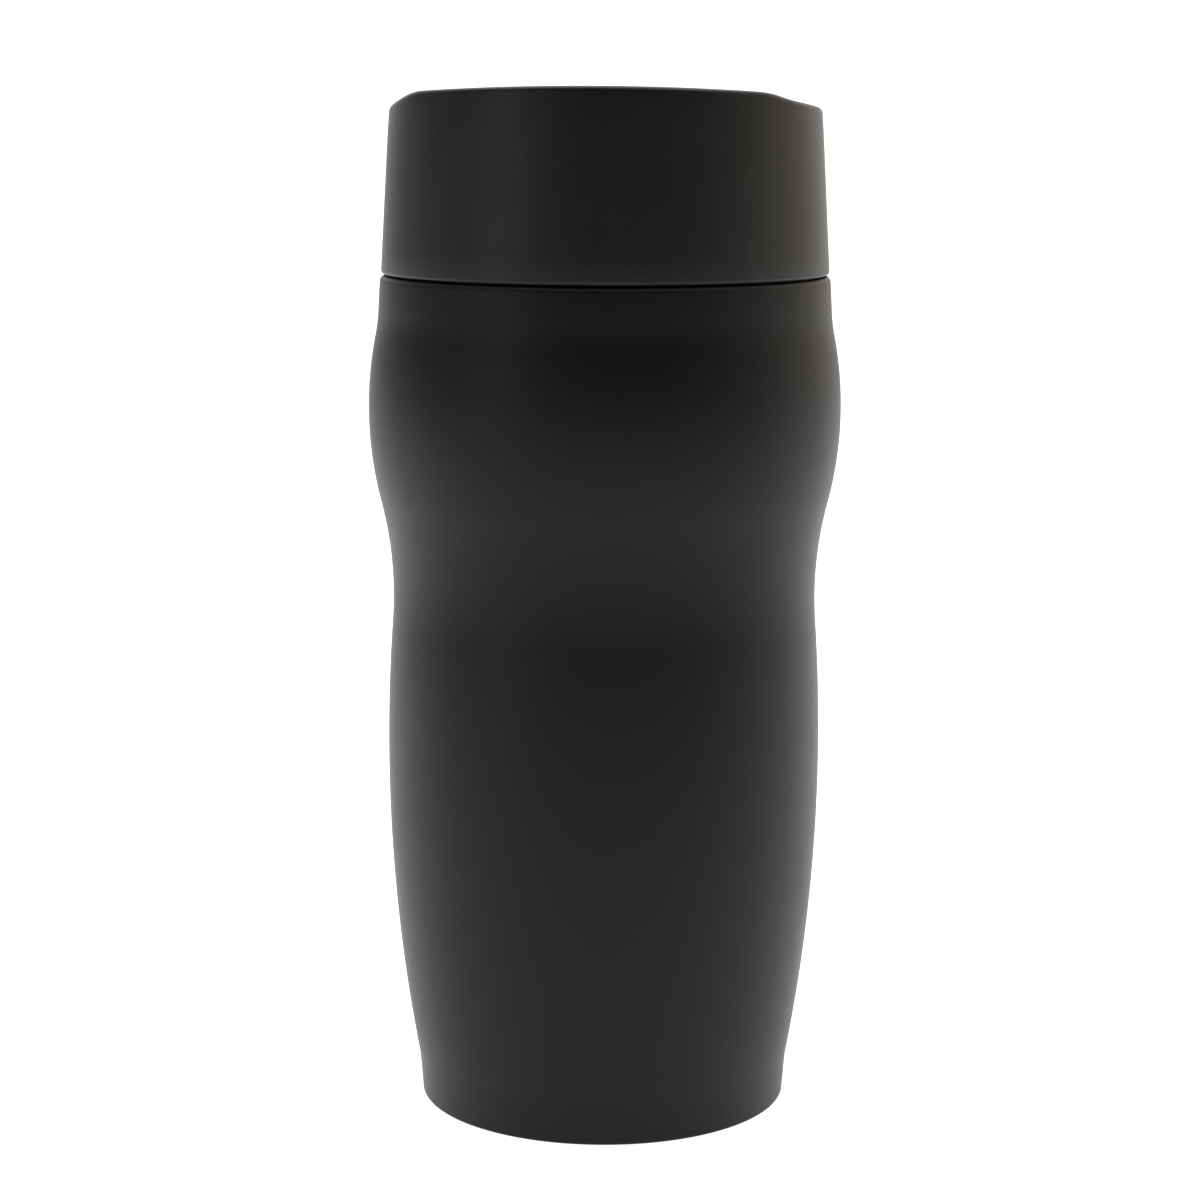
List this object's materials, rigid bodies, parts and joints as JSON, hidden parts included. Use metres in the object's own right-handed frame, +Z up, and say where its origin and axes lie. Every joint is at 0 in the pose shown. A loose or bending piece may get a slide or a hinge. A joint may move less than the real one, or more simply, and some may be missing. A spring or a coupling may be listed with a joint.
{
  "type": "insulated tumbler",
  "caption": "Tall insulated drinking tumbler with a waisted steel body and a screw-in lid that has a wave-cut rim and a thumb-pressed drink valve.",
  "frame": {"origin": "on the body's axis at the face of the foot pad, where the tumbler stands", "axes": "+Z up along the body's axis, +X towards the drinking side of the rim, -X towards the thumb button"},
  "size_m": [0.09, 0.0898, 0.195],
  "materials": {
    "body_coat": "matte black powder coat on steel",
    "lid_plastic": "matte black moulded plastic, fine grain",
    "trim_plastic": "black moulded plastic, a little smoother than the lid",
    "inner_plastic": "dark grey moulded plastic",
    "white_plastic": "natural unpigmented plastic",
    "liner_steel": "electropolished stainless steel with turning marks",
    "raw_steel": "plain stainless steel",
    "foil": "copper foil",
    "getter": "sintered metal pill",
    "seal_glass": "solder glass",
    "foot_rubber": "matte black silicone rubber",
    "silicone": "grey food-safe silicone",
    "foam": "closed-cell insulating foam"
  },
  "bodies": {
    "vessel": {"outer_wall": "body_coat", "outer_bottom": "raw_steel", "vacuum_seal_bead": "seal_glass", "inner_liner": "liner_steel", "inner_bottom": "liner_steel", "getter_disc": "getter", "heat_shield_foil": "foil", "base_cover": "inner_plastic", "base_pad": "foot_rubber"},
    "gasket": {"lid_gasket": "silicone"},
    "lid": {"lid_core": "inner_plastic", "lid_insulation": "foam", "lid_shell": "lid_plastic", "lid_deck": "lid_plastic", "deck_seal": "silicone", "spout_bezel": "trim_plastic", "valve_tray": "inner_plastic", "rocker_bracket": "white_plastic", "rocker_pin": "raw_steel", "bracket_screws": "raw_steel", "button_seal": "silicone"},
    "button": {"thumb_button": "trim_plastic", "button_pad": "foot_rubber", "stem_clip": "raw_steel", "return_spring": "raw_steel"},
    "rocker": {"rocker_lever": "white_plastic"},
    "plug": {"drink_plug": "white_plastic", "plug_seal": "silicone", "vent_plug": "silicone"}
  },
  "joints": [
    {"name": "lid_lift", "type": "slide", "parent": "vessel", "child": "gasket", "axis": [0, 0, 1], "range_m": [0, 0.018]},
    {"name": "lid_turn", "type": "hinge", "parent": "gasket", "child": "lid", "pos_m": [0, 0, 0.16], "axis": [0, 0, 1], "range_deg": [0, 720]},
    {"name": "thumb_press", "type": "slide", "parent": "lid", "child": "button", "axis": [0, 0, -1], "range_m": [0, 0.0035], "stiffness_N_per_m": 900, "springref_m": -0.002, "deforming": ["return_spring"]},
    {"name": "rocker_swing", "type": "hinge", "parent": "lid", "child": "rocker", "pos_m": [0, 0, 0.1735], "axis": [0, -1, 0], "range_deg": [0, 9.2]},
    {"name": "plug_lift", "type": "slide", "parent": "lid", "child": "plug", "axis": [0, 0, 1], "range_m": [0, 0.0036]}
  ],
  "couplings": [
    {"joint": "lid_lift", "follows": "lid_turn", "m_per_rad": 0.0014324},
    {"joint": "rocker_swing", "follows": "thumb_press", "rad_per_m": 45.455},
    {"joint": "plug_lift", "follows": "thumb_press", "ratio": 1}
  ]
}
